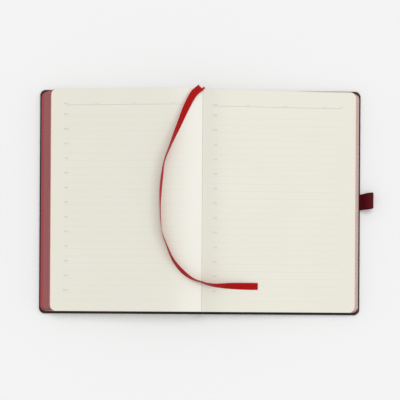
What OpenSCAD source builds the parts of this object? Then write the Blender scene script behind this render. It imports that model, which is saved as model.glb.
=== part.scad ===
// A thick A5 day planner lying open: PU cover, sewn page block, ribbon marker and elastic pen loop.
// +X points to the back cover's fore-edge, +Y to the head, +Z up. The origin is on the table, under the
// middle of the whole object, pen loop included. The modules are drawn about the middle of the spine.

/* [Cover] */
// Width of the open cover, fore-edge to fore-edge (mm)
open_width = 307.7; // [300:0.1:314]
// Height of the cover, head to tail (mm)
cover_height = 214.6; // [212:0.1:220]
// Thickness of one finished cover (mm)
cover_t = 2.4; // [2:0.1:4]
// Thickness of the leather-look skin (mm)
skin_t = 0.6; // [0.4:0.1:0.9]
// Thickness of the pasted-down endpaper (mm)
endpaper_t = 0.2; // [0.1:0.05:0.3]
// Width of the skin turned over the board's edges (mm)
turn_in = 14; // [8:1:20]
// Width of the groove between a board and its hinge (mm)
groove = 5; // [3:0.5:8]
// Radius of the cover's and pages' corners (mm)
corner_r = 5.4; // [2:0.1:9]

/* [Spine] */
// Lean of the two joint strips when the book lies open (degrees)
joint_lean = 76.5; // [60:0.5:85]
// Height of the hinge lines above the table (mm)
hinge_z = 1.5; // [1:0.1:2]
// Thickness of the cloth and paper lining (mm)
lining_t = 0.3; // [0.2:0.05:0.5]

/* [Page block] */
// Page height, head to tail (mm)
page_height = 210; // [200:1:220]
// Thickness of one sewn signature (mm)
signature_t = 1.3; // [1:0.05:1.5]
// Number of signatures in the block
signatures = 12; // [8:1:16]
// Number of whole signatures lying on the front cover
left_whole = 8; // [4:1:10]
// Thickness given to a leaf that turns on its own (mm)
leaf_t = 0.15; // [0.1:0.05:0.3]
// Page block's set-back from the cover's fore-edge (mm)
fore_gap = 1.6; // [0.5:0.1:4]
// Step of the fore-edges across the front stack (mm)
left_fan = 11.5; // [6:0.1:14]
// Step of the fore-edges across the back stack (mm)
right_fan = 4; // [2:0.1:8]
// X of the gutter between the two open pages (mm)
gutter_x = 2.2; // [0:0.1:3]

/* [Ribbon] */
// Width of the satin ribbon (mm)
ribbon_w = 6.6; // [5:0.1:8]
// Thickness of the satin ribbon (mm)
ribbon_t = 0.4; // [0.3:0.05:0.6]

/* [Pen loop] */
// Width of the elastic band along Y (mm)
loop_w = 15; // [10:0.5:20]
// Reach of the loop beyond the cover's fore-edge (mm)
loop_reach = 12.4; // [10:0.1:16]
// Height of the loop above the table (mm)
loop_h = 9.2; // [8:0.1:12]
// Thickness of the elastic band (mm)
loop_t = 1; // [0.8:0.1:1.5]
// Y of the loop's middle (mm)
loop_y = 1; // [-10:0.5:10]
// Length of the band's glued ends inside the cover (mm)
loop_tab = 18; // [10:1:25]

/* [Hidden] */
$fn = 48;

skin_color = [0.09, 0.07, 0.07];
board_color = [0.62, 0.60, 0.55];
page_color = [0.93, 0.91, 0.85];
lining_color = [0.86, 0.84, 0.78];
red = [0.68, 0.05, 0.05];
maroon = [0.34, 0.03, 0.07];

// The closed book: two covers with the block between them
block_t = signatures * signature_t + 2 * endpaper_t;
closed_t = 2 * cover_t + block_t;
// The flexible spine is three equal strips between four hinge lines
strip_t = skin_t + lining_t;
strip_l = (closed_t - 2 * hinge_z) / 3;
chord = strip_l * (1 + 2 * cos(joint_lean));
rise = strip_l * sin(joint_lean);
// Offsets of one end of a strip from its hinge line
end_gap = strip_t / 2 + 0.05;
// Air between stacked signatures, so that none rubs through the next
clearance = 0.02;
// Room for the sewing thread at the fold of the middle signature
thread_room = 0.5;
half_open = open_width / 2;
half_chord = chord / 2;
board_x = half_chord + groove;
// Longest flat leaf that still clears the spine while the book closes
longest_leaf = half_open - fore_gap - half_chord - end_gap - 1.2;
block_z = cover_t + endpaper_t;
loop_gap = 0.3;
spine_x = -(loop_reach + loop_gap) / 2;

// How far the leaves at height z reach, and where they stop at the spine
function left_edge(z) = -half_open + fore_gap + left_fan * (z - block_z) / (left_t());
function right_edge(z) = half_open - fore_gap - right_fan * (z - block_z) / (right_t());
function left_t() = (left_whole + 0.5) * signature_t;
function right_t() = (signatures - left_whole - 0.5) * signature_t;
// Outer face of a joint strip at height z, measured from the middle plane
function flank(z) = half_chord - (z - hinge_z) / tan(joint_lean) + strip_t / 2 / sin(joint_lean);
arch_top = hinge_z + rise + strip_t / 2;
// The left leaves above the spine stop along the slope down to the gutter
function gutter_slope(z) = gutter_x - 0.2 - 0.9 * (z - arch_top);

// Hand-chosen route of the ribbon: x, y, z and the turn of its width from flat (degrees).
// It leaves the head of the gutter, lies in a standing loop on the left page and crosses to the right.
loop_route = [
    [0.9, 106.7, 9, 0], [0.9, 106.6, 12, 0], [0.8, 106.4, 14.8, 5], [-0.3, 105.4, 17.1, 14],
    [-3.2, 102.6, 18.8, 20], [-6.3, 99.2, 19.7, 22], [-9.6, 93.4, 20.4, 26], [-13.4, 85.4, 21.3, 34],
    [-16.8, 77, 22, 46], [-20, 69, 22.6, 56], [-24, 59.5, 23.1, 68], [-28, 49.5, 23.3, 80],
    [-33, 36.2, 23.3, 86], [-35.2, 22, 23.1, 76], [-36.4, 9, 23.1, 76], [-36.8, -5, 23.2, 84],
    [-36.3, -18, 23.2, 88], [-35, -31, 23.2, 93], [-31, -42, 23.2, 98], [-26.5, -53, 23.1, 106],
    [-21.8, -60.7, 22.8, 113], [-15.2, -68, 22.4, 117], [-9, -72.8, 21.7, 110], [-4, -75.3, 20.7, 102],
    [-0.8, -76.3, 19.6, 100], [1.2, -76.8, 18.8, 100]
];
tail_route = [
    [1.3, -76.83, 18.75, 100], [3.2, -77.4, 18, 101], [6.4, -78.5, 17.2, 103], [10, -79.3, 16.8, 108],
    [14, -80, 16.6, 114], [20, -80.4, 16.3, 124], [28, -80.5, 15.4, 142], [38.5, -80.6, 14.3, 158],
    [47, -80.7, 13.2, 168], [55.4, -80.7, 12.3, 173]
];
ribbon_sides = 8;

module placed() {
    // From the spine's middle to the middle of the whole object
    translate([spine_x, 0, 0])
        children();
}

module plate(x0, x1, height, t, r) {
    // A flat sheet from x0 to x1 whose corners at x1 are rounded
    side = x1 > x0 ? 1 : -1;
    linear_extrude(t)
        union() {
            translate([min(x0, x1 - side * r), -height / 2])
                square([abs(x1 - side * r - x0), height]);
            translate([min(x1 - side * r, x1), -height / 2 + r])
                square([r, height - 2 * r]);
            for (y = [-1, 1])
                translate([x1 - side * r, y * (height / 2 - r)])
                    circle(r);
        }
}

module board_shape(side) {
    // The board is thinner where the skin is turned over it
    edge = side * (half_open - skin_t);
    inner = side * (half_open - turn_in);
    h = cover_height - 2 * skin_t;
    translate([0, 0, skin_t])
        plate(side * board_x, edge, h, cover_t - endpaper_t - 0.4 - skin_t, corner_r - skin_t);
    translate([0, 0, skin_t])
        plate(side * board_x, inner, cover_height - 2 * turn_in, cover_t - endpaper_t - skin_t, 1);
}

module loop_slot() {
    // Room in the back board for the band's glued ends
    translate([half_open - loop_tab, loop_y - loop_w / 2, cover_t - endpaper_t - loop_t])
        cube([loop_tab + 1, loop_w, loop_t + 1]);
}

module board(side) {
    color(board_color)
        difference() {
            board_shape(side);
            if (side > 0) loop_slot();
        }
}

module cover_skin(side) {
    // Outside sheet, edges and turned-over border, with a thinner groove beside the hinge
    color(skin_color)
        difference() {
            union() {
                plate(side * board_x, side * half_open, cover_height, cover_t - endpaper_t, corner_r);
                translate([side * (half_chord + end_gap + groove / 2), 0, hinge_z])
                    cube([groove, cover_height, strip_t], center = true);
            }
            board_shape(side);
            if (side > 0) loop_slot();
        }
}

module pastedown(side) {
    color(lining_color)
        translate([0, 0, cover_t - endpaper_t])
            plate(side * (half_chord + 1.4), side * (half_open - 2.5), page_height - 2, endpaper_t, 4);
}

module flyleaf(side) {
    edge = side > 0 ? right_edge(block_z) : left_edge(block_z);
    color(lining_color)
        translate([0, 0, cover_t])
            plate(side * (half_chord + 0.6), edge, page_height, endpaper_t, corner_r);
}

module strip(side, offset, t, height) {
    // One layer of a joint strip; offset is counted from its hollow side to its block side
    mirror([side < 0 ? 1 : 0, 0, 0])
        translate([half_chord, 0, hinge_z])
            rotate([0, joint_lean - 90, 0])
                translate([offset - strip_t / 2, -height / 2, end_gap])
                    cube([t, height, strip_l - 2 * end_gap]);
}

module joint_skin(side) {
    // The flat layer ends in a rounded fold along each hinge line
    color(skin_color)
        mirror([side < 0 ? 1 : 0, 0, 0])
            translate([half_chord, cover_height / 2, hinge_z])
                rotate([0, joint_lean - 90, 0])
                    rotate([90, 0, 0])
                        linear_extrude(cover_height)
                            joint_profile();
}

module joint_profile() {
    union() {
        translate([-strip_t / 2, 0])
            square([skin_t, strip_l]);
        for (y = [0, strip_l])
            translate([0, y])
                circle(strip_t / 2 + 0.03);
    }
}

module joint_lining(side) {
    color(lining_color)
        strip(side, skin_t, lining_t, page_height - 4);
}

module middle_strip(offset, t, height) {
    half = strip_l / 2 - end_gap;
    translate([-half, -height / 2, hinge_z + rise - strip_t / 2 + offset])
        cube([2 * half, height, t]);
}

module spine_skin() {
    color(skin_color)
        middle_strip(0, skin_t, cover_height);
}

module spine_lining() {
    color(lining_color)
        middle_strip(skin_t, lining_t, page_height - 4);
}

module sewing_thread() {
    // Stitches down the middle fold of the signature the book is open at
    z = block_z + (signatures - left_whole - 1) * signature_t;
    color([0.95, 0.94, 0.9])
        for (n = [-2:2])
            translate([flank(z) + 0.3 + thread_room / 2, 38 * n + 14, z + 0.25])
                rotate([90, 0, 0])
                    cylinder(h = 28, d = 0.4, $fn = 16);
}

module signature(number) {
    color(page_color)
        if (number <= left_whole) left_stack((number - 1) * signature_t, signature_t - clearance);
        else right_stack((signatures - number) * signature_t, signature_t - clearance);
}

module left_stack(base, t) {
    // Leaves lying on the front cover, from base to base + t above its flyleaf
    z = block_z + base;
    low = z < arch_top ? -flank(z) - 0.3 : min(gutter_slope(z), left_edge(z) + longest_leaf);
    translate([0, 0, z])
        plate(low, left_edge(z), page_height, t, corner_r);
}

module right_stack(base, t, inset = 0) {
    z = block_z + base;
    translate([0, 0, z])
        plate(flank(z) + 0.3 + inset, right_edge(z), page_height, t, corner_r);
}

module half_signature(side) {
    // The halves of the signature that the book is open at, less the top leaf
    t = signature_t / 2 - leaf_t - clearance;
    color(page_color)
        if (side < 0) left_stack(left_whole * signature_t, t);
        else right_stack((signatures - left_whole - 1) * signature_t, t, thread_room);
}

module top_leaf(side) {
    h = (side < 0 ? left_t() : right_t()) - leaf_t;
    color(page_color)
        if (side < 0) left_stack(h, leaf_t);
        else right_stack(h, leaf_t);
}

// Unit vector across the ribbon's width, for a step along it and a turn from flat
function across(step, turn) =
    let (flat = [step.y, -step.x, 0] / norm([step.x, step.y]))
    flat * cos(turn) + [0, 0, sin(turn)];
function cross_dir(step, side) = cross(step / norm(step), side);
function step_at(p, i) = [for (k = [0:2]) p[min(i + 1, len(p) - 1)][k] - p[max(i - 1, 0)][k]];
// A point between route points i and i + 1, on a smooth curve through them all
function smooth(p, i, t) =
    let (a = p[max(i - 1, 0)], b = p[i], c = p[i + 1], d = p[min(i + 2, len(p) - 1)])
    b + t / 2 * (c - a) + t * t / 2 * (2 * a - 5 * b + 4 * c - d)
    + t * t * t / 2 * (3 * b - a - 3 * c + d);
function finer(p) = [for (i = [0:len(p) - 2], t = [0, 0.5]) smooth(p, i, t), p[len(p) - 1]];

module ribbon(route) {
    path = finer(route);
    last = len(path) - 1;
    rings = [
        for (i = [0:last])
            let (step = step_at(path, i), side = across(step, path[i][3]), up = cross_dir(step, side))
            for (n = [0:ribbon_sides - 1])
                let (a = 360 * (n + 0.5) / ribbon_sides)
                [path[i].x, path[i].y, path[i].z]
                + side * ribbon_w / 2 * cos(a) / cos(180 / ribbon_sides)
                + up * ribbon_t / 2 * sin(a) / cos(180 / ribbon_sides)
    ];
    walls = [
        for (i = [0:last - 1], n = [0:ribbon_sides - 1])
            let (m = (n + 1) % ribbon_sides, a = i * ribbon_sides, b = a + ribbon_sides)
            [a + n, a + m, b + m, b + n]
    ];
    start = [for (n = [ribbon_sides - 1:-1:0]) n];
    end = [for (n = [0:ribbon_sides - 1]) last * ribbon_sides + n];
    color(red)
        polyhedron(rings, concat(walls, [start, end]));
}

module loop_outline(inset) {
    // Racetrack seen along Y: x out from the cover's edge, y for height
    r = loop_h / 2 - inset;
    reach = loop_reach - loop_h / 2;
    union() {
        translate([inset, inset])
            square([reach - inset, 2 * r]);
        translate([reach, loop_h / 2])
            circle(r);
    }
}

module pen_loop() {
    // Both ends of the band come together at the cover's edge
    color(maroon)
        translate([half_open + loop_gap, loop_y + loop_w / 2, 0.1])
            rotate([90, 0, 0])
                linear_extrude(loop_w)
                    difference() {
                        loop_outline(0);
                        loop_outline(loop_t);
                    }
}

module pen_loop_anchor() {
    color(maroon)
        translate([half_open - loop_tab, loop_y - loop_w / 2, cover_t - endpaper_t - loop_t])
            cube([loop_tab + loop_gap / 2, loop_w, loop_t]);
}

placed() board(1);  // back_board
placed() cover_skin(1);  // back_cover_skin
placed() pastedown(1);  // back_pastedown
placed() flyleaf(1);  // back_flyleaf
placed() board(-1);  // front_board
placed() cover_skin(-1);  // front_cover_skin
placed() pastedown(-1);  // front_pastedown
placed() flyleaf(-1);  // front_flyleaf
placed() joint_skin(1);  // back_joint_skin
placed() joint_lining(1);  // back_joint_lining
placed() spine_skin();
placed() spine_lining();
placed() joint_skin(-1);  // front_joint_skin
placed() joint_lining(-1);  // front_joint_lining
placed() sewing_thread();
placed() signature(1);  // signature_01
placed() signature(2);  // signature_02
placed() signature(3);  // signature_03
placed() signature(4);  // signature_04
placed() signature(5);  // signature_05
placed() signature(6);  // signature_06
placed() signature(7);  // signature_07
placed() signature(8);  // signature_08
placed() half_signature(-1);  // signature_09_left
placed() half_signature(1);  // signature_09_right
placed() signature(10);  // signature_10
placed() signature(11);  // signature_11
placed() signature(12);  // signature_12
placed() top_leaf(-1);  // left_leaf
placed() top_leaf(1);  // right_leaf
placed() ribbon(loop_route);  // ribbon_loop
placed() ribbon(tail_route);  // ribbon_tail
placed() pen_loop();
placed() pen_loop_anchor();
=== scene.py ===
import math
import random

import bpy
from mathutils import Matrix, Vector


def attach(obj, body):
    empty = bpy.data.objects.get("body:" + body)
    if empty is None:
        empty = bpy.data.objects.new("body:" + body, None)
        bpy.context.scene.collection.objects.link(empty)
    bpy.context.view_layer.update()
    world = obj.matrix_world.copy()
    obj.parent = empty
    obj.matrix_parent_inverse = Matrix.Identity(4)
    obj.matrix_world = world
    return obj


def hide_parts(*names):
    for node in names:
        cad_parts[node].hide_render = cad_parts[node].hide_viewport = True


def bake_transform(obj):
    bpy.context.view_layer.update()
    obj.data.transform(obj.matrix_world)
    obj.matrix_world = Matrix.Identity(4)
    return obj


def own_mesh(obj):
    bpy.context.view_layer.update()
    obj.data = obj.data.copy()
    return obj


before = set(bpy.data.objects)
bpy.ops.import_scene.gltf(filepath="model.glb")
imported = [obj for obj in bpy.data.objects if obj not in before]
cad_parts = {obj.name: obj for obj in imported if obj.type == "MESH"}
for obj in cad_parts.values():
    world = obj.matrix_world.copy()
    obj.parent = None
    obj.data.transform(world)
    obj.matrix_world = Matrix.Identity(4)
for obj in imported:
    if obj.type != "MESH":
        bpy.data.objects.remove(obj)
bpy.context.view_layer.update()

random.seed(9)

# ---------------------------------------------------------------- sizes, in mm, as in part.scad
MM = 0.001
SPINE_X = -6.35        # where the middle of the spine lies along the row's X
HALF_OPEN = 153.85
COVER_HEIGHT = 214.6
COVER_T = 2.4
SKIN_T = 0.6
ENDPAPER_T = 0.2
TURN_IN = 14
BOARD_X = 9.352
CORNER_R = 5.4
HINGE_Z = 1.5
JOINT_LEAN = 76.5
STRIP_L = 5.9333
STRIP_T = 0.9
PAGE_HEIGHT = 210
SIGNATURE_T = 1.3
LEFT_WHOLE = 8
RIGHT_WHOLE = 3
FORE_X = 152.25        # fore-edge of the lowest leaves
LEFT_FAN = 11.5
RIGHT_FAN = 4
GUTTER_X = 2.2
GUTTER_Z = 13.4
BLOCK_Z = COVER_T + ENDPAPER_T
LEFT_TOP = BLOCK_Z + (LEFT_WHOLE + 0.5) * SIGNATURE_T
RIGHT_TOP = BLOCK_Z + (RIGHT_WHOLE + 0.5) * SIGNATURE_T
LEAVES = 8             # leaves of the open signature shown on each side
LEAF_T = 0.1
BUNDLES = 6            # groups of leaves seen in the edge of one signature

# Height of the open page's surface along X, from the fore-edge to the gutter
LEFT_PAGE = [
    (-153, 13.2), (-141, 13.65), (-110, 15.1), (-80, 16.9), (-55, 18.5), (-38, 19.4),
    (-26, 19.7), (-17, 19.3), (-10, 18.4), (-5, 17.3), (-2, 16.4), (0, 15.7), (2.2, 14.8),
]
RIGHT_PAGE = [
    (2.2, 14.7), (4, 14.0), (8, 13.5), (14, 13.4), (22, 13.3), (34, 12.9),
    (50, 11.9), (75, 10.2), (105, 8.4), (130, 7.4), (148.6, 7.15), (155, 7.1),
]

# The ribbon's route, as in part.scad: x, y, z and the turn of its width from flat (degrees)
RIBBON_W = 6.6
RIBBON_T = 0.3
LOOP_ROUTE = [
    (0.9, 106.7, 9, 0), (0.9, 106.6, 12, 0), (0.8, 106.4, 14.8, 5), (-0.3, 105.4, 17.1, 14),
    (-3.2, 102.6, 18.8, 20), (-6.3, 99.2, 19.7, 22), (-9.6, 93.4, 20.4, 26), (-13.4, 85.4, 21.3, 34),
    (-16.8, 77, 22, 46), (-20, 69, 22.6, 56), (-24, 59.5, 23.1, 68), (-28, 49.5, 23.3, 80),
    (-33, 36.2, 23.3, 86), (-35.2, 22, 23.1, 76), (-36.4, 9, 23.1, 76), (-36.8, -5, 23.2, 84),
    (-36.3, -18, 23.2, 88), (-35, -31, 23.2, 93), (-31, -42, 23.2, 98), (-26.5, -53, 23.1, 106),
    (-21.8, -60.7, 22.8, 113), (-15.2, -68, 22.4, 117), (-9, -72.8, 21.7, 110), (-4, -75.3, 20.7, 102),
    (-0.8, -76.3, 19.6, 100), (1.2, -76.8, 18.8, 100),
]
TAIL_ROUTE = [
    (1.3, -76.83, 18.75, 100), (3.2, -77.4, 18, 101), (6.4, -78.5, 17.2, 103), (10, -79.3, 16.8, 108),
    (14, -80, 16.6, 114), (20, -80.4, 16.3, 124), (28, -80.5, 15.4, 142), (38.5, -80.6, 14.3, 158),
    (47, -80.7, 13.2, 168), (55.4, -80.7, 12.3, 173),
]


# ---------------------------------------------------------------- helpers
def at(x, y, z):
    """A point given in mm from the spine's middle, as metres in the row frame."""
    return Vector(((x + SPINE_X) * MM, y * MM, z * MM))


def mesh(name, points, faces, material, uv=None, smooth=True):
    """A mesh object from points in mm; uv is one (u, v) a point."""
    data = bpy.data.meshes.new(name)
    data.from_pydata([at(*p) for p in points], [], faces)
    data.polygons.foreach_set("use_smooth", [smooth] * len(data.polygons))
    if uv:
        layer = data.uv_layers.new(name="UVMap")
        for loop in data.loops:
            layer.data[loop.index].uv = uv[loop.vertex_index]
    data.update()
    obj = bpy.data.objects.new(name, data)
    bpy.context.collection.objects.link(obj)
    obj.data.materials.append(material)
    return obj


def through(points, x):
    """Height at x of a smooth line through the points, with no overshoot between them."""
    i = 0
    while i < len(points) - 2 and x > points[i + 1][0]:
        i += 1
    slopes = [(b[1] - a[1]) / (b[0] - a[0]) for a, b in zip(points, points[1:])]

    def tangent(k):
        if k == 0 or k == len(slopes):
            return slopes[min(k, len(slopes) - 1)]
        a, b = slopes[k - 1], slopes[k]
        return 2 * a * b / (a + b) if a * b > 0 else 0.0

    (x0, y0), (x1, y1) = points[i], points[i + 1]
    h = x1 - x0
    t = (x - x0) / h
    return (y0 * (1 + 2 * t) * (1 - t) ** 2 + tangent(i) * h * t * (1 - t) ** 2
            + y1 * t * t * (3 - 2 * t) + tangent(i + 1) * h * t * t * (t - 1))


def shell(name, columns, rows, top, bottom, material, uv, smooth=True):
    """A closed sheet: top(i, j) and bottom(i, j) give its two faces over a columns by rows grid."""
    points, coords, faces = [], [], []
    for face in (top, bottom):
        for i in range(columns):
            for j in range(rows):
                points.append(face(i, j))
                coords.append(uv(i, j))
    low = columns * rows
    for i in range(columns - 1):
        for j in range(rows - 1):
            a = i * rows + j
            b = a + rows
            faces.append((a, b, b + 1, a + 1))
            faces.append((low + a, low + a + 1, low + b + 1, low + b))
    rim = [i * rows for i in range(columns)]
    rim += [(columns - 1) * rows + j for j in range(1, rows)]
    rim += [i * rows + rows - 1 for i in range(columns - 2, -1, -1)]
    rim += [j for j in range(rows - 2, 0, -1)]
    for a, b in zip(rim, rim[1:] + rim[:1]):
        faces.append((a, low + a, low + b, b))
    return mesh(name, points, faces, material, coords, smooth)


# ---------------------------------------------------------------- materials
def new_material(name, roughness, specular=0.3):
    material = bpy.data.materials.new(name)
    material.use_nodes = True
    tree = material.node_tree
    shader = tree.nodes["Principled BSDF"]
    shader.inputs["Roughness"].default_value = roughness
    shader.inputs["Specular IOR Level"].default_value = specular
    return material, tree, shader


def node(tree, kind, **values):
    made = tree.nodes.new(kind)
    for key, value in values.items():
        if key in made.inputs:
            made.inputs[key].default_value = value
        else:
            setattr(made, key, value)
    return made


def calc(tree, operation, *terms):
    """Output of a maths node whose terms are numbers or other outputs."""
    made = tree.nodes.new("ShaderNodeMath")
    made.operation = operation
    for slot, term in zip(made.inputs, terms):
        if isinstance(term, (int, float)):
            slot.default_value = term
        else:
            tree.links.new(term, slot)
    return made.outputs[0]


def ramp(tree, value, low, high):
    """1 where value is under low, 0 where it is over high."""
    made = tree.nodes.new("ShaderNodeMapRange")
    made.interpolation_type = "SMOOTHSTEP"
    tree.links.new(value, made.inputs["Value"])
    for key, number in (("From Min", low), ("From Max", high), ("To Min", 1), ("To Max", 0)):
        made.inputs[key].default_value = number
    return made.outputs[0]


def mix(tree, share, a, b):
    made = tree.nodes.new("ShaderNodeMix")
    made.data_type = "RGBA"
    for term, slot in ((share, made.inputs[0]), (a, made.inputs[6]), (b, made.inputs[7])):
        if isinstance(term, (int, float)):
            slot.default_value = term
        elif isinstance(term, tuple):
            slot.default_value = term + (1,)
        else:
            tree.links.new(term, slot)
    return made.outputs[2]


def noise(tree, scale, detail=3.0, stretch=(1, 1, 1)):
    """Noise in metres of the row frame; scale is in features a metre."""
    coord = tree.nodes.new("ShaderNodeTexCoord")
    mapping = tree.nodes.new("ShaderNodeMapping")
    mapping.inputs["Scale"].default_value = stretch
    tree.links.new(coord.outputs["Object"], mapping.inputs["Vector"])
    made = node(tree, "ShaderNodeTexNoise", Scale=scale, Detail=detail)
    tree.links.new(mapping.outputs[0], made.inputs["Vector"])
    return made.outputs["Fac"]


def bump(tree, shader, height, distance, strength=1.0):
    made = node(tree, "ShaderNodeBump", Strength=strength, Distance=distance)
    tree.links.new(height, made.inputs["Height"])
    tree.links.new(made.outputs[0], shader.inputs["Normal"])
    return made


def uv_mm(tree, name="UVMap"):
    """One of the mesh's own pairs of coordinates, in mm."""
    coord = tree.nodes.new("ShaderNodeUVMap")
    coord.uv_map = name
    parts = tree.nodes.new("ShaderNodeSeparateXYZ")
    tree.links.new(coord.outputs[0], parts.inputs[0])
    u = calc(tree, "MULTIPLY", parts.outputs[0], 100)
    v = calc(tree, "MULTIPLY", parts.outputs[1], 100)
    return u, v


PAPER = (0.793, 0.785, 0.693)
PAPER_WARM = (0.764, 0.746, 0.648)
INK = (0.42, 0.43, 0.45)
DYE = (0.42, 0.060, 0.082)
# The second dye colour is paler dye, also darkened as a painted shade of the fanned edges.
DYE_FADED_AND_SHADED = (0.33, 0.165, 0.150)
BLUSH = (0.86, 0.70, 0.62)


def paper_material(name, bleed, shade, ruled=None, painted_fold_light_and_shade=None):
    """Cream paper with red-dyed edges. Ruled leaves have lines from ruled[0] to ruled[1] mm in from the
    fore-edge, and towards the fold the paper is mixed with painted_fold_light_and_shade: a painted light on
    the left page, a painted shade on the right."""
    material, tree, shader = new_material(name, 0.62, 0.25)
    u, v = uv_mm(tree)
    edge, tone = uv_mm(tree, "Edge")
    tone = calc(tree, "DIVIDE", tone, 100)
    fibres = noise(tree, 900, 4)
    clouds = noise(tree, 22, 2)
    # shade scales the paper's colour; below 1 it is a painted shade.
    light, warm = (tuple(shade * c for c in tint) for tint in (PAPER, PAPER_WARM))
    color = mix(tree, calc(tree, "MULTIPLY", clouds, 0.5), light, warm)
    color = mix(tree, calc(tree, "MULTIPLY", fibres, 0.08), color, (0.66, 0.60, 0.48))
    if ruled:
        steps = calc(tree, "DIVIDE", calc(tree, "SUBTRACT", RULE_TOP, v), RULE_PITCH)
        cycle = calc(tree, "FRACT", calc(tree, "ADD", steps, 0.5))
        from_line = calc(tree, "ABSOLUTE", calc(tree, "SUBTRACT", cycle, 0.5))
        line = ramp(tree, from_line, 0.10 / RULE_PITCH, 0.20 / RULE_PITCH)
        below = calc(tree, "GREATER_THAN", steps, -0.4)
        above = calc(tree, "LESS_THAN", steps, RULES - 0.6)
        begun = calc(tree, "GREATER_THAN", u, ruled[0])
        across = calc(tree, "MULTIPLY", begun, calc(tree, "LESS_THAN", u, ruled[1]))
        line = calc(tree, "MULTIPLY", line, calc(tree, "MULTIPLY", below, above))
        line = calc(tree, "MULTIPLY", line, across)
        head = ramp(tree, calc(tree, "ABSOLUTE", calc(tree, "SUBTRACT", v, HEAD_RULE)), 0.16, 0.26)
        head = calc(tree, "MULTIPLY", head, across)
        color = mix(tree, calc(tree, "MULTIPLY", line, 0.18), color, INK)
        color = mix(tree, calc(tree, "MULTIPLY", head, 0.7), color, INK)
        color = mix(tree, calc(tree, "MULTIPLY", ramp(tree, u, 0.3, 5.0), 0.35), color, BLUSH)
        # Painted light and shade towards the fold: the left page is lightened there and the right page
        # darkened.
        painted_fold_mask = calc(tree, "SUBTRACT", 1, ramp(tree, u, ruled[1] - 18, ruled[1] + 10))
        color = mix(tree, calc(tree, "MULTIPLY", painted_fold_mask, 0.22 if shade == 1 else 0.4), color, painted_fold_light_and_shade)
    speckle = calc(tree, "MULTIPLY", calc(tree, "SUBTRACT", noise(tree, 1500, 2), 0.5), bleed * 0.8)
    soaked = ramp(tree, calc(tree, "ADD", edge, speckle), bleed * 0.7, bleed)
    streaks = noise(tree, 300, 3, (12, 0.05, 12))
    # Low tone mixes the dye towards the paler, darker colour: partly less dye, partly painted shade.
    faded_and_shaded_share = calc(tree, "MULTIPLY", calc(tree, "SUBTRACT", 1, tone), calc(tree, "ADD", streaks, 0.35))
    color = mix(tree, soaked, color, mix(tree, faded_and_shaded_share, DYE, DYE_FADED_AND_SHADED))
    color = mix(tree, ramp(tree, edge, 0.004, 0.02), color, DYE)
    tree.links.new(color, shader.inputs["Base Color"])
    bump(tree, shader, fibres, 0.00003, 0.5)
    return material


RULE_PITCH = 6.92
RULE_TOP = 78.4
RULES = 26
HEAD_RULE = 89.4

# The left papers have shade 0.97, a painted shade: the same paper as the right, made darker.
LEFT_PAPER = paper_material("paper_left", 0.6, 0.97)
RIGHT_PAPER = paper_material("paper_right", 0.09, 1)
# The last colour of each ruled paper is painted at the fold: a painted light on the left page, a painted
# shade on the right.
LEFT_RULED = paper_material("paper_left_ruled", 0.03, 0.97, (13.5, 125.5), (0.90, 0.89, 0.84))
RIGHT_RULED = paper_material("paper_right_ruled", 0.03, 1, (13.5, 137.5), (0.50, 0.47, 0.42))


def ink_material():
    material, tree, shader = new_material("ink", 0.7, 0.2)
    color = mix(tree, noise(tree, 2500), (0.46, 0.46, 0.46), (0.58, 0.57, 0.55))
    tree.links.new(color, shader.inputs["Base Color"])
    return material


def endpaper_material():
    material, tree, shader = new_material("endpaper", 0.68, 0.2)
    fibres = noise(tree, 700, 5)
    tree.links.new(mix(tree, fibres, (0.80, 0.775, 0.69), (0.72, 0.69, 0.60)), shader.inputs["Base Color"])
    bump(tree, shader, fibres, 0.00004, 0.6)
    return material


def leather_material():
    """Fine-grained matt leather-look coating: pebbles of about 0.6 mm over a soft unevenness."""
    material, tree, shader = new_material("cover_leather", 0.5, 0.16)
    coord = tree.nodes.new("ShaderNodeTexCoord")
    cells = node(tree, "ShaderNodeTexVoronoi", Scale=1500)
    cells.feature = "SMOOTH_F1"
    tree.links.new(coord.outputs["Object"], cells.inputs["Vector"])
    fine = noise(tree, 3200, 4)
    soft = noise(tree, 60, 3)
    pebbles = calc(tree, "MULTIPLY", cells.outputs["Distance"], 1.6)
    height = calc(tree, "ADD", pebbles, calc(tree, "MULTIPLY", fine, 0.5))
    color = mix(tree, soft, (0.020, 0.012, 0.011), (0.034, 0.022, 0.020))
    raised = calc(tree, "MULTIPLY", ramp(tree, cells.outputs["Distance"], 0.0, 0.7), 0.35)
    color = mix(tree, raised, color, (0.055, 0.038, 0.035))
    tree.links.new(color, shader.inputs["Base Color"])
    rough = node(tree, "ShaderNodeMapRange")
    tree.links.new(fine, rough.inputs["Value"])
    rough.inputs["To Min"].default_value = 0.42
    rough.inputs["To Max"].default_value = 0.66
    tree.links.new(rough.outputs[0], shader.inputs["Roughness"])
    bump(tree, shader, height, 0.00012, 0.7)
    return material


def woven_material(name, light, dark, along, across, roughness, specular, sheen, distance=0.00006):
    """Cloth whose threads repeat along and across its own two coordinates, both in mm."""
    material, tree, shader = new_material(name, roughness, specular)
    shader.inputs["Sheen Weight"].default_value = sheen
    shader.inputs["Sheen Roughness"].default_value = 0.4
    u, v = uv_mm(tree)
    warp = calc(tree, "SINE", calc(tree, "MULTIPLY", v, 2 * math.pi / across))
    weft = calc(tree, "SINE", calc(tree, "MULTIPLY", u, 2 * math.pi / along))
    crossing = calc(tree, "MULTIPLY", calc(tree, "MULTIPLY", warp, weft), 0.5)
    weave = calc(tree, "ADD", crossing, calc(tree, "MULTIPLY", weft, 0.5))
    fuzz = noise(tree, 1200, 3)
    threads = calc(tree, "MULTIPLY", calc(tree, "ADD", weave, 1), 0.3)
    shade = calc(tree, "ADD", threads, calc(tree, "MULTIPLY", fuzz, 0.4))
    tree.links.new(mix(tree, shade, dark, light), shader.inputs["Base Color"])
    bump(tree, shader, calc(tree, "ADD", weave, calc(tree, "MULTIPLY", fuzz, 0.5)), distance, 0.8)
    return material


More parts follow.
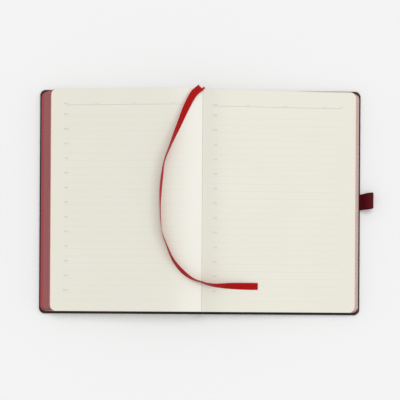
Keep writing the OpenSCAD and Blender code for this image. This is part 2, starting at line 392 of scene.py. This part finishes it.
INK_MATERIAL = ink_material()
ENDPAPER = endpaper_material()
LEATHER = leather_material()
SATIN = woven_material("ribbon_satin", (0.49, 0.002, 0.003), (0.32, 0.001, 0.002), along=0.35, across=0.25,
                       roughness=0.3, specular=0.1, sheen=0)
ELASTIC = woven_material("loop_elastic", (0.11, 0.001, 0.007), (0.045, 0.0005, 0.002), along=0.9, across=1.1,
                         roughness=0.6, specular=0.1, sheen=0, distance=0.0001)
MULL = woven_material("lining_mull", (0.80, 0.77, 0.69), (0.62, 0.58, 0.50), along=0.8, across=0.8,
                      roughness=0.85, specular=0.1, sheen=0.2, distance=0.0001)
LINEN = woven_material("linen_thread", (0.86, 0.84, 0.78), (0.66, 0.63, 0.55), along=0.5, across=0.3,
                       roughness=0.75, specular=0.2, sheen=0.2)


# ---------------------------------------------------------------- camera
camera = bpy.data.objects.new("camera", bpy.data.cameras.new("camera"))
bpy.context.collection.objects.link(camera)
camera.location = at(0.94, -112.8, 750)
camera.rotation_euler = (0, 0, math.radians(0.36))
camera.data.lens = 70.15
camera.data.sensor_width = 36
camera.data.shift_y = 0.30
camera.data.clip_start = 0.05
camera.data.clip_end = 10
bpy.context.scene.camera = camera
bpy.context.scene.view_settings.view_transform = "Standard"


# ---------------------------------------------------------------- the ribbon marker
def ribbon(name, route, body, anchor_z, **facts):
    """A flat band with thicker woven edges, swept along a smooth line through the route."""
    def point(i, t):
        a, b, c, d = (route[max(0, min(len(route) - 1, k))] for k in (i - 1, i, i + 1, i + 2))
        return [
            q + t * ((r - p) + t * (2 * p - 5 * q + 4 * r - s) + t * t * (3 * q - p - 3 * r + s)) / 2
            for p, q, r, s in zip(a, b, c, d)
        ]

    path = [point(i, k / 4) for i in range(len(route) - 1) for k in range(4)] + [list(route[-1])]
    last = len(path) - 1
    half = [(1, 0.9), (0.9, 1), (0.8, 0.6), (0.4, 0.5)]
    profile = [(-a, b) for a, b in half] + [(0, 0.5)] + list(reversed(half))
    profile += [(a, -b) for a, b in reversed(profile)]
    points, coords, faces = [], [], []
    run = 0.0
    for i, (x, y, z, turn) in enumerate(path):
        here = Vector((x, y, z))
        step = Vector(path[min(i + 1, last)][:3]) - Vector(path[max(i - 1, 0)][:3])
        flat = Vector((step.y, -step.x, 0)).normalized()
        side = flat * math.cos(math.radians(turn)) + Vector((0, 0, math.sin(math.radians(turn))))
        up = step.normalized().cross(side)
        side = side.normalized()
        if i:
            run += (here - Vector(path[i - 1][:3])).length
        for a, b in profile:
            cup = 0.25 * (1 - a * a) * math.sin(run / 23)
            points.append(here + side * (RIBBON_W / 2 * a) + up * (RIBBON_T / 2 * b + cup))
            coords.append((run / 100, a * RIBBON_W / 200))
    n = len(profile)
    for i in range(last):
        for k in range(n):
            a = i * n + k
            b = i * n + (k + 1) % n
            faces.append((a, b, b + n, a + n))
    faces.append(tuple(range(n - 1, -1, -1)))
    faces.append(tuple(last * n + k for k in range(n)))
    band = mesh(name, points, faces, SATIN, coords)
    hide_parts(name.replace("satin_", ""))
    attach(band, body)
    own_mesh(band)
    at(*path[0][:3])
    [at(*p[:3]) for p in path]


ribbon("satin_ribbon_loop", LOOP_ROUTE, "left_leaf_body", LEFT_TOP, far_end="object")
ribbon("satin_ribbon_tail", TAIL_ROUTE, "right_leaf_body", RIGHT_TOP, far_end="bare")


# ---------------------------------------------------------------- leaves and groups of leaves
def spread(near, far, first, growth, most=4.0):
    """Positions from near to far whose steps grow from first by the given factor, up to most."""
    places = [near]
    step = first
    while abs(far - places[-1]) > step * 1.5:
        places.append(places[-1] + math.copysign(step, far - near))
        step = min(most, step * growth)
    return places + [far]


def half_height(from_fore, full=PAGE_HEIGHT / 2):
    """Half the page's height, less where its corner is rounded."""
    if from_fore >= CORNER_R:
        return full
    return full - CORNER_R + math.sqrt(max(0.0, CORNER_R ** 2 - (CORNER_R - from_fore) ** 2))


def edge_distance(from_fore, y, full):
    """Distance from a point of the page to its dyed edge: the fore-edge with its two corners."""
    dx, dy = from_fore, full - abs(y)
    if dx < CORNER_R and dy < CORNER_R:
        return max(0.0, CORNER_R - math.hypot(CORNER_R - dx, CORNER_R - dy))
    return dx


CORNER_STEPS = [0, 0.12, 0.5, 1.1, 1.9, 2.9, 4.1, CORNER_R]


def fold_line(side, fore, inner, radius, down_to, height, first=0.6, growth=1.3):
    """The line of a leaf from fore-edge to fold: (x, z) points that end in a turn down to the spine."""
    xs = [fore - side * d for d in CORNER_STEPS]
    xs += list(reversed(spread(inner + side * radius, xs[-1] - side * 1.5, first, growth)))
    line = [(x, height(x)) for x in xs]
    x, z = line[-1]
    for k in range(1, 6):
        a = math.pi / 10 * k
        line.append((x - side * radius * math.sin(a), z - radius * (1 - math.cos(a))))
    x, z = line[-1]
    if z - down_to > 0.4:
        line += [(x, z + (down_to - z) * k / 4) for k in range(1, 5)]
    return line


def leaves_solid(line, thick, fore, full, edge_rows, inner_rows, lift=None, tone=0.5):
    """Points, coordinates and faces of a closed sheet along the line.
    The coordinates are the distance from the fore-edge, y, the distance from the dyed edge and a tone."""
    points, coords, faces = [], [], []
    normals = []
    for i in range(len(line)):
        a, b = line[max(i - 1, 0)], line[min(i + 1, len(line) - 1)]
        n = Vector((b[1] - a[1], a[0] - b[0])).normalized()
        normals.append(n if n.y > 0 or (abs(n.y) < 1e-6 and n.x * (b[0] - a[0]) >= 0) else -n)
    fractions = [k / inner_rows for k in range(-inner_rows + 1, inner_rows)]
    for under in (0, 1):
        for i, (x, z) in enumerate(line):
            gap = abs(fore - x)
            h = half_height(gap, full)
            ys = [-h] + [-h + e for e in edge_rows] + [(h - edge_rows[-1]) * f for f in fractions]
            ys += [h - e for e in reversed(edge_rows)] + [h]
            for y in ys:
                rise = lift(x, y) if lift else 0.0
                p = Vector((x, z + rise)) - normals[i] * (thick * under)
                points.append((p.x, y, p.y))
                coords.append((gap / 100, y / 100, edge_distance(gap, y, full) / 100, tone))
    rows = len(ys)
    low = len(line) * rows
    for i in range(len(line) - 1):
        for j in range(rows - 1):
            a = i * rows + j
            faces.append((a, a + rows, a + rows + 1, a + 1))
            faces.append((low + a, low + a + 1, low + a + rows + 1, low + a + rows))
    rim = [i * rows for i in range(len(line))] + [low - rows + j for j in range(1, rows)]
    rim += [i * rows + rows - 1 for i in range(len(line) - 2, -1, -1)]
    rim += [j for j in range(rows - 2, 0, -1)]
    for a, b in zip(rim, rim[1:] + rim[:1]):
        faces.append((a, low + a, low + b, b))
    if line[1][0] > line[0][0]:
        return points, coords, faces
    return points, coords, [tuple(reversed(f)) for f in faces]


def paper_mesh(name, parts, material, smooth):
    """One mesh from closed sheets, with a second pair of coordinates for the dyed edges."""
    points, coords, faces = [], [], []
    for some_points, some_coords, some_faces in parts:
        start = len(points)
        points += some_points
        coords += some_coords
        faces += [tuple(start + k for k in f) for f in some_faces]
    made = mesh(name, points, faces, material, [c[:2] for c in coords], smooth)
    layer = made.data.uv_layers.new(name="Edge")
    for loop in made.data.loops:
        layer.data[loop.index].uv = coords[loop.vertex_index][2:]
    return made


def fan_step(side):
    """How far the fore-edge steps in for each mm of height."""
    return LEFT_FAN / (LEFT_TOP - BLOCK_Z) if side < 0 else RIGHT_FAN / (RIGHT_TOP - BLOCK_Z)


def leaf_level(side, k):
    top = LEFT_TOP if side < 0 else RIGHT_TOP
    return top - SIGNATURE_T / 2 + k * SIGNATURE_T / 2 / LEAVES


def leaf_height(side, k, x):
    """Height of leaf k: its flat level at the fore-edge, raised by its share of the page's curve."""
    top = LEFT_TOP if side < 0 else RIGHT_TOP
    page = through(LEFT_PAGE if side < 0 else RIGHT_PAGE, x)
    return leaf_level(side, k) + k / LEAVES * (page - top)


def ripple(side, k, x, y):
    """Slight unevenness of a leaf, none at its fore-edge and fold."""
    raised = leaf_height(side, k, x) - leaf_level(side, k)
    near_fold = min(1.0, abs(x - GUTTER_X) / 12)
    return 0.05 * raised * near_fold * math.sin(x / 19 + k * 0.6) * math.cos(y / 37 + k * 1.1)


# The leaves of the open signature, 1 the lowest, fanned up to the curve of the open pages
for side, word in ((-1, "left"), (1, "right")):
    for k in range(1, LEAVES + 1):
        fore = side * (FORE_X - fan_step(side) * (leaf_level(side, k) - BLOCK_Z))
        line = fold_line(side, fore, GUTTER_X + side * 0.03 * (LEAVES - k + 1), 0.3,
                         8.2 + 0.05 * k, lambda x: leaf_height(side, k, x))
        part = leaves_solid(line, LEAF_T, fore, PAGE_HEIGHT / 2, [0.3, 0.9, 2.5, 5.4], 10,
                            lambda x, y: ripple(side, k, x, y), 0.0)
        sheet = paper_mesh(f"{word}_leaf_{k}", [part], LEFT_RULED if side < 0 else RIGHT_RULED, True)
        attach(sheet, f"{word}_leaf_body" if k == LEAVES else f"signature_09_{word}_body")
        at(0, 0, leaf_level(side, k))
        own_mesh(sheet)
        if k == LEAVES:
            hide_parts(f"{word}_leaf")
        elif k == LEAVES - 1:
            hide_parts(f"signature_09_{word}")


def flank(z):
    """Outer face of a joint strip at height z."""
    lean = math.radians(JOINT_LEAN)
    half_chord = STRIP_L * (0.5 + math.cos(lean))
    return half_chord - (z - HINGE_Z) / math.tan(lean) + STRIP_T / 2 / math.sin(lean)


ARCH_TOP = HINGE_Z + STRIP_L * math.sin(math.radians(JOINT_LEAN)) + STRIP_T / 2


def signature(side, number, base, strip):
    """One sewn signature as groups of leaves, each ending in a turn near the spine."""
    parts = []
    t = SIGNATURE_T / BUNDLES
    for n in range(BUNDLES):
        high = BLOCK_Z + base + (n + 1) * t - 0.02
        fore = side * (FORE_X - fan_step(side) * (high - t - BLOCK_Z) - random.uniform(0, 0.15))
        if high < ARCH_TOP + 0.1:
            inner = side * (flank(high) + 0.25)
            radius, down_to = 0.1, high
        else:
            inner = -2.6 + 0.85 * (high - ARCH_TOP)
            radius, down_to = 0.5, ARCH_TOP + 0.1
        tone = 0.0
        if side < 0:
            bright = high < BLOCK_Z + 3.1
            tone = random.uniform(0.75, 1) if bright else random.uniform(0, 0.45)
        line = fold_line(side, fore, inner, radius, down_to, lambda x: high, 0.7, 1.5)
        parts.append(leaves_solid(line, t - 0.05, fore, PAGE_HEIGHT / 2 - random.uniform(0, 0.12),
                                  [0.3, 0.9, 2.5, 5.4], 1, None, tone))
    paper = LEFT_PAPER if side < 0 else RIGHT_PAPER
    made = paper_mesh(f"signature_{number:02d}_leaves", parts, paper, False)
    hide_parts(f"signature_{number:02d}")
    if strip is None:
        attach(made, "back_cover")
        return
    z = BLOCK_Z + base + SIGNATURE_T / 2
    if z < ARCH_TOP:
        start, end = at(side * flank(z), 0, z), at(side * (flank(z) + 7), 0, z)
    else:
        start, end = at(1, 0, ARCH_TOP), at(-4.5, 0, z + 1)
    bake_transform(made)
    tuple(start)
    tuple(end)


for number in range(1, LEFT_WHOLE + 1):
    strip = "front_joint" if number <= 4 else "spine"
    signature(-1, number, (number - 1) * SIGNATURE_T, strip)
for number, strip in ((10, "back_joint"), (11, "back_joint"), (12, None)):
    signature(1, number, (12 - number) * SIGNATURE_T, strip)


# ---------------------------------------------------------------- the cover
def outline(side, inset, x_in=BOARD_X):
    """Outline of one cover, its two fore-edge corners rounded, counter-clockwise seen from above."""
    r = max(0.6, CORNER_R - inset)
    x1 = HALF_OPEN - inset
    h = COVER_HEIGHT / 2 - inset
    points = [(x_in, -h)]
    points += [
        (x1 - r + r * math.sin(a), -h + r - r * math.cos(a))
        for a in (k * math.pi / 16 for k in range(9))
    ]
    points += [(x, -y) for x, y in reversed(points)]
    return [(side * x, y) for x, y in points]


def rings_mesh(name, rings, material, side, close=True, smooth=True):
    """A closed skin through rings of equal length, its first and last ring filled."""
    n = len(rings[0])
    points = [p for ring in rings for p in ring]
    faces = []
    for i in range(len(rings) - 1):
        for k in range(n):
            a = i * n + k
            b = i * n + (k + 1) % n
            faces.append((a, b, b + n, a + n))
    if close:
        faces.append(tuple(range(n - 1, -1, -1)))
        faces.append(tuple((len(rings) - 1) * n + k for k in range(n)))
    if side < 0:
        faces = [tuple(reversed(f)) for f in faces]
    coords = [(p[0] / 100, p[1] / 100) for p in points]
    return mesh(name, points, faces, material, coords, smooth)


def cover(side, word):
    """The skin of one cover: outside, rounded edges and the border turned over onto the inside."""
    top = COVER_T - ENDPAPER_T
    profile = [
        (3, 0), (1.2, 0.02), (0.55, 0.12), (0.2, 0.38), (0.04, 0.8), (0, 1.15), (0.05, 1.5),
        (0.22, 1.85), (0.6, 2.1), (1.2, top), (TURN_IN - 0.3, top), (TURN_IN, top - 0.15),
        (TURN_IN, top - 0.4), (0.7, top - 0.42), (0.7, SKIN_T),
    ]
    rings = []
    for inset, z in profile:
        rings.append([(x, y, z) for x, y in outline(side, inset)])
    skin = rings_mesh(f"{word}_cover_leather", rings, LEATHER, side)
    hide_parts(f"{word}_cover_skin")
    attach(skin, f"{word}_cover")


cover(1, "back")
cover(-1, "front")


def board_finish():
    material, tree, shader = new_material("grey_board", 0.8, 0.15)
    flecks = noise(tree, 900, 5)
    tree.links.new(mix(tree, flecks, (0.50, 0.47, 0.42), (0.34, 0.32, 0.29)), shader.inputs["Base Color"])
    bump(tree, shader, flecks, 0.0001, 0.6)
    return material


BOARD = board_finish()
for name in ("back_board", "front_board"):
    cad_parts[name].data.materials.clear()
    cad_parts[name].data.materials.append(BOARD)


def endpaper(name, stands_for, side, x_in, x_fore, low, high, full, body):
    fore = side * x_fore
    line = [(fore - side * d, high) for d in CORNER_STEPS]
    line += [(side * (x_in + 20), high), (side * x_in, high)]
    points, coords, faces = leaves_solid(line, high - low, fore, full, [0.3, 0.9, 2.5, 5.4], 1)
    made = mesh(name, points, faces, ENDPAPER, [c[:2] for c in coords], smooth=False)
    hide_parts(stands_for)
    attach(made, body)


HALF_CHORD = STRIP_L * (0.5 + math.cos(math.radians(JOINT_LEAN)))
for side, word in ((1, "back"), (-1, "front")):
    endpaper(f"{word}_pasted_endpaper", f"{word}_pastedown", side, HALF_CHORD + 1.4, HALF_OPEN - 2.5,
             COVER_T - ENDPAPER_T, COVER_T - 0.02, PAGE_HEIGHT / 2 - 1, f"{word}_cover")
    endpaper(f"{word}_free_endpaper", f"{word}_flyleaf", side, HALF_CHORD + 0.6, FORE_X,
             COVER_T, COVER_T + ENDPAPER_T - 0.03, PAGE_HEIGHT / 2, f"{word}_cover")


# ---------------------------------------------------------------- the flexible spine
LEAN = math.radians(JOINT_LEAN)
HINGES = [
    (HALF_CHORD, HINGE_Z),
    (STRIP_L / 2, HINGE_Z + STRIP_L * math.sin(LEAN)),
    (-STRIP_L / 2, HINGE_Z + STRIP_L * math.sin(LEAN)),
    (-HALF_CHORD, HINGE_Z),
]
GROOVE = [(10.2, 0.75), (9.3, 0.8), (8.2, 1.4), (6.6, HINGE_Z)]


def rounded(corners, radius, step=0.35):
    """The line through the corners with each one rounded, as closely spaced points."""
    line = [Vector(c) for c in corners]
    path = [line[0]]
    for before, corner, after in zip(line, line[1:], line[2:]):
        near = min(radius, (corner - before).length / 2, (after - corner).length / 2)
        a = corner + (before - corner).normalized() * near
        b = corner + (after - corner).normalized() * near
        path += [a.lerp(corner, t).lerp(corner.lerp(b, t), t) for t in (k / 6 for k in range(7))]
    path.append(line[-1])
    fine = [path[0]]
    for a, b in zip(path, path[1:]):
        parts = max(1, round((b - a).length / step))
        fine += [a.lerp(b, (k + 1) / parts) for k in range(parts)]
    return [p for k, p in enumerate(fine) if k == 0 or (p - fine[k - 1]).length > 1e-6]


def layer(name, corners, low, high, half, material, slot, bodies, about, stands_for=None):
    """One layer of the case along a bent line; low and high are its faces, counted towards the leaves."""
    path = rounded(corners, 1.3)
    run = [0.0]
    for a, b in zip(path, path[1:]):
        run.append(run[-1] + (b - a).length)

    def offset(i, by):
        step = path[min(i + 1, len(path) - 1)] - path[max(i - 1, 0)]
        normal = Vector((step.y, -step.x)).normalized()
        return path[i] + normal * by

    def row_y(j):
        return half * (2 * j / 8 - 1)

    def face(by):
        return lambda i, j: (offset(i, by).x, row_y(j), offset(i, by).y)

    made = shell(name, len(path), 9, face(high), face(low), material,
                 lambda i, j: (run[i] / 100, row_y(j) / 100))
    if stands_for:
        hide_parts(stands_for)
    hinge = Vector(about)
    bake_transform(made)


def middle(a, b):
    return ((a[0] + b[0]) / 2, (a[1] + b[1]) / 2)


CHAIN = ["back_cover", "back_joint", "spine", "front_joint", "front_cover"]
MIRROR_GROOVE = [(-x, z) for x, z in reversed(GROOVE)]
STRIP_MIDDLES = [middle(a, b) for a, b in zip(HINGES, HINGES[1:])]
RUNS = [
    GROOVE + [HINGES[0], STRIP_MIDDLES[0]],
    [STRIP_MIDDLES[0], HINGES[1], STRIP_MIDDLES[1]],
    [STRIP_MIDDLES[1], HINGES[2], STRIP_MIDDLES[2]],
    [STRIP_MIDDLES[2], HINGES[3]] + MIRROR_GROOVE,
]
SKIN_NODES = ["back_joint_skin", "spine_skin", None, "front_joint_skin"]
LINING_NODES = ["back_joint_lining", "spine_lining", None, "front_joint_lining"]
for n, corners in enumerate(RUNS):
    pair = (CHAIN[n], CHAIN[n + 1])
    layer(f"spine_leather_{n + 1}", corners, -0.45, 0.15, COVER_HEIGHT / 2, LEATHER, "cover_skin",
          pair, HINGES[n], SKIN_NODES[n])
    inside = [c for c in corners if abs(c[0]) < 8]
    layer(f"spine_mull_{n + 1}", inside, 0.15, 0.43, PAGE_HEIGHT / 2 - 2, MULL, "lining",
          pair, HINGES[n], LINING_NODES[n])


# ---------------------------------------------------------------- tubes: stitches of the open fold
def tube(path, radius, sides=10):
    """A round tube along points in mm, its ends closed."""
    points, coords, faces = [], [], []
    line = [Vector(p) for p in path]
    run = 0.0
    for i, p in enumerate(line):
        step = (line[min(i + 1, len(line) - 1)] - line[max(i - 1, 0)]).normalized()
        side = step.cross(Vector((0, 0, 1))).normalized()
        up = side.cross(step)
        if i:
            run += (p - line[i - 1]).length
        for k in range(sides):
            a = 2 * math.pi * k / sides
            points.append(p + side * radius * math.cos(a) + up * radius * math.sin(a))
            coords.append((run / 100, k * radius * 0.6 / 100))
    for i in range(len(line) - 1):
        for k in range(sides):
            a = i * sides + k
            b = i * sides + (k + 1) % sides
            faces.append((a, a + sides, b + sides, b))
    faces.append(tuple(range(sides)))
    faces.append(tuple((len(line) - 1) * sides + k for k in range(sides - 1, -1, -1)))
    return points, coords, faces


def join(name, parts, material, smooth=True):
    """One mesh from several closed parts."""
    points, coords, faces = [], [], []
    for some_points, some_coords, some_faces in parts:
        start = len(points)
        points += some_points
        coords += some_coords
        faces += [tuple(start + k for k in f) for f in some_faces]
    return mesh(name, points, faces, material, coords, smooth)


stitches = []
for n in range(-2, 3):
    middle_y = 38 * n
    path = []
    for k in range(15):
        t = k / 14
        dip = 0.5 * (1 - min(1, t / 0.08, (1 - t) / 0.08))
        path.append((GUTTER_X, middle_y - 14 + 28 * t, GUTTER_Z + 0.16 - dip))
    stitches.append(tube(path, 0.16))
thread = join("fold_stitches", stitches, LINEN)
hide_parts("sewing_thread")
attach(thread, "signature_09_right_body")
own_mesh(thread)


# ---------------------------------------------------------------- the pen loop
LOOP_W = 15
LOOP_Y = 1
LOOP_T = 0.9
LOOP_SKEW = 0.12       # shift along Y for each mm of reach, as the soft band hangs
LOOP_LINE = [
    (-0.9, 2.0), (0.6, 2.4), (2.4, 4.0), (4.6, 6.9), (7.4, 8.5), (10.2, 7.9), (12.0, 5.2),
    (11.3, 2.3), (8.8, 0.85), (5.4, 0.7), (2.4, 1.0), (0.6, 1.3), (-0.9, 1.35),
]


def band(name, path, width, thick, material, ribs=9):
    """An elastic band with fine ribs along it, its centreline given as (x, z) points in mm."""
    rows = ribs * 4 + 1
    run = [0.0]
    for a, b in zip(path, path[1:]):
        run.append(run[-1] + (b - a).length)

    def face(sign):
        def place(i, j):
            step = path[min(i + 1, len(path) - 1)] - path[max(i - 1, 0)]
            normal = Vector((-step.y, step.x)).normalized()
            across = 2 * j / (rows - 1) - 1
            rib = 0.06 * math.cos(2 * math.pi * ribs * j / (rows - 1))
            edge = 1 - 0.45 * max(0, (abs(across) - 0.92) / 0.08)
            p = path[i] + normal * sign * (thick / 2 * edge - rib)
            return p.x, LOOP_Y + width / 2 * across + LOOP_SKEW * max(0, p.x - HALF_OPEN), p.y
        return place

    return shell(name, len(path), rows, face(1), face(-1), material,
                 lambda i, j: (run[i] / 100, width * j / (rows - 1) / 100))


loop = band("pen_loop_band", rounded([(HALF_OPEN + x, z) for x, z in LOOP_LINE], 2.5, 0.5),
            LOOP_W, LOOP_T, ELASTIC)
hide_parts("pen_loop")
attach(loop, "pen_loop")
anchor = band("pen_loop_glued_end", rounded([(HALF_OPEN - 18, 1.68), (HALF_OPEN - 0.4, 1.68)], 1),
              LOOP_W, 0.8, ELASTIC)
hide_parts("pen_loop_anchor")
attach(anchor, "back_cover")


# ---------------------------------------------------------------- printing: plain hour figures and marks
SEGMENTS = {
    "0": "abcdef", "1": "bc", "2": "abged", "3": "abgcd", "4": "fgbc",
    "5": "afgcd", "6": "afgedc", "7": "abc", "8": "abcdefg", "9": "abcdfg",
}
STROKES = {
    "a": (0, 1, 1, 1), "b": (1, 0.5, 1, 1), "c": (1, 0, 1, 0.5), "d": (0, 0, 1, 0),
    "e": (0, 0, 0, 0.5), "f": (0, 0.5, 0, 1), "g": (0, 0.5, 1, 0.5),
}
FIGURE_W = 0.62
FIGURE_H = 1.15


def stroke(side, k, x0, y0, x1, y1, width):
    """A raised line of ink, as one thin box that follows the leaf."""
    along = Vector((x1 - x0, y1 - y0)).normalized() * width / 2
    across = Vector((-along.y, along.x))
    a, b = Vector((x0, y0)) - along, Vector((x1, y1)) + along
    corners = [a - across, b - across, b + across, a + across]
    points = []
    for lift in (-0.02, 0.02):
        points += [(c.x, c.y, leaf_height(side, k, c.x) + ripple(side, k, c.x, c.y) + lift) for c in corners]
    faces = [(3, 2, 1, 0), (4, 5, 6, 7), (0, 1, 5, 4), (1, 2, 6, 5), (2, 3, 7, 6), (3, 0, 4, 7)]
    return points, [(p[0] / 100, p[1] / 100) for p in points], faces


def figures(side, k, text, x, y):
    """Small figures made of straight strokes, from x rightwards."""
    made = []
    for letter in text:
        if letter == ":":
            for up in (0.3, 0.7):
                level = y + up * FIGURE_H
                made.append(stroke(side, k, x, level, x + 0.05, level, 0.16))
            x += 0.42
            continue
        for name in SEGMENTS[letter]:
            x0, y0, x1, y1 = STROKES[name]
            made.append(stroke(side, k, x + x0 * FIGURE_W, y + y0 * FIGURE_H,
                               x + x1 * FIGURE_W, y + y1 * FIGURE_H, 0.16))
        x += FIGURE_W + 0.36
    return made


def printing(side, k):
    """Hour figures beside every second line, and short marks in the page's head."""
    word = "left" if side < 0 else "right"
    x = -128.6 if side < 0 else 12.3
    made = []
    for n in range(13):
        made += figures(side, k, f"{8 + n:02d}:00", x, RULE_TOP - 2 * n * RULE_PITCH + 1.7)
    for mark in ((-99, -63.5, -27) if side < 0 else (43.5, 79, 117, 133)):
        for start in (mark, mark + 1.3, mark + 2.6):
            made.append(stroke(side, k, start, HEAD_RULE + 1.4, start + 0.75, HEAD_RULE + 1.4, 0.35))
    made.append(stroke(side, k, x, HEAD_RULE + 1.6, x + 3.6, HEAD_RULE + 1.6, 0.5))
    ink = join(f"{word}_print_{k}", made, INK_MATERIAL, smooth=False)
    turning = k == LEAVES
    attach(ink, f"{word}_leaf_body" if turning else f"signature_09_{word}_body")
    at(0, 0, leaf_level(side, k))
    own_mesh(ink)


for side in (-1, 1):
    for k in (LEAVES - 1, LEAVES):
        printing(side, k)


# ---------------------------------------------------------------- floor and light
def floor():
    material, _, shader = new_material("paper_floor", 0.9, 0.1)
    shader.inputs["Base Color"].default_value = (0.86, 0.86, 0.86, 1)
    data = bpy.data.meshes.new("floor")
    s = 4
    corners = [(-s, -s), (s, -s), (s, s), (-s, s)]
    data.from_pydata([(x, y, -0.0002) for x, y in corners], [], [(0, 1, 2, 3)])
    obj = bpy.data.objects.new("floor", data)
    bpy.context.collection.objects.link(obj)
    data.materials.append(material)


def soft_sun(name, azimuth, zenith, spread, strength):
    """A broad distant light: azimuth from +X towards +Y, zenith from straight overhead, in degrees."""
    data = bpy.data.lights.new(name, "SUN")
    data.angle = math.radians(spread)
    data.energy = strength
    obj = bpy.data.objects.new(name, data)
    bpy.context.collection.objects.link(obj)
    obj.rotation_euler = (0, math.radians(zenith), math.radians(azimuth))


floor()
soft_sun("key", 80, 26, 24, 0.7)
soft_sun("side", 5, 48, 22, 0.5)
world = bpy.data.worlds.new("studio")
bpy.context.scene.world = world
world.use_nodes = True
world.node_tree.nodes["Background"].inputs["Color"].default_value = (1, 1, 1, 1)
world.node_tree.nodes["Background"].inputs["Strength"].default_value = 0.74
